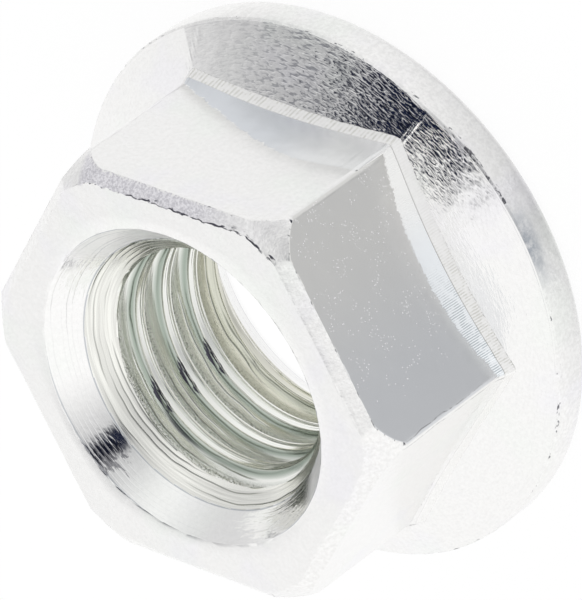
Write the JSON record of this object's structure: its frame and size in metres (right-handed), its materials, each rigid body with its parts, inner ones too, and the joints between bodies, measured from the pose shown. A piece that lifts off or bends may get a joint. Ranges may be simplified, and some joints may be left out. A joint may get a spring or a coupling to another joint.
{
  "type": "serrated flange nut",
  "caption": "Hexagon nut with a broad conical flange and a serrated bearing face, threaded for an M12 screw.",
  "frame": {"origin": "centre of the bearing face, on the thread axis", "axes": "+Z along the thread axis, from the serrated bearing face to the free end; +X through a corner of the hexagon"},
  "size_m": [0.0247, 0.0246, 0.0113],
  "materials": {
    "zinc_plated_steel": "bright zinc plating over cold-formed steel"
  },
  "bodies": {
    "root": {"flange_nut": "zinc_plated_steel"}
  },
  "joints": []
}
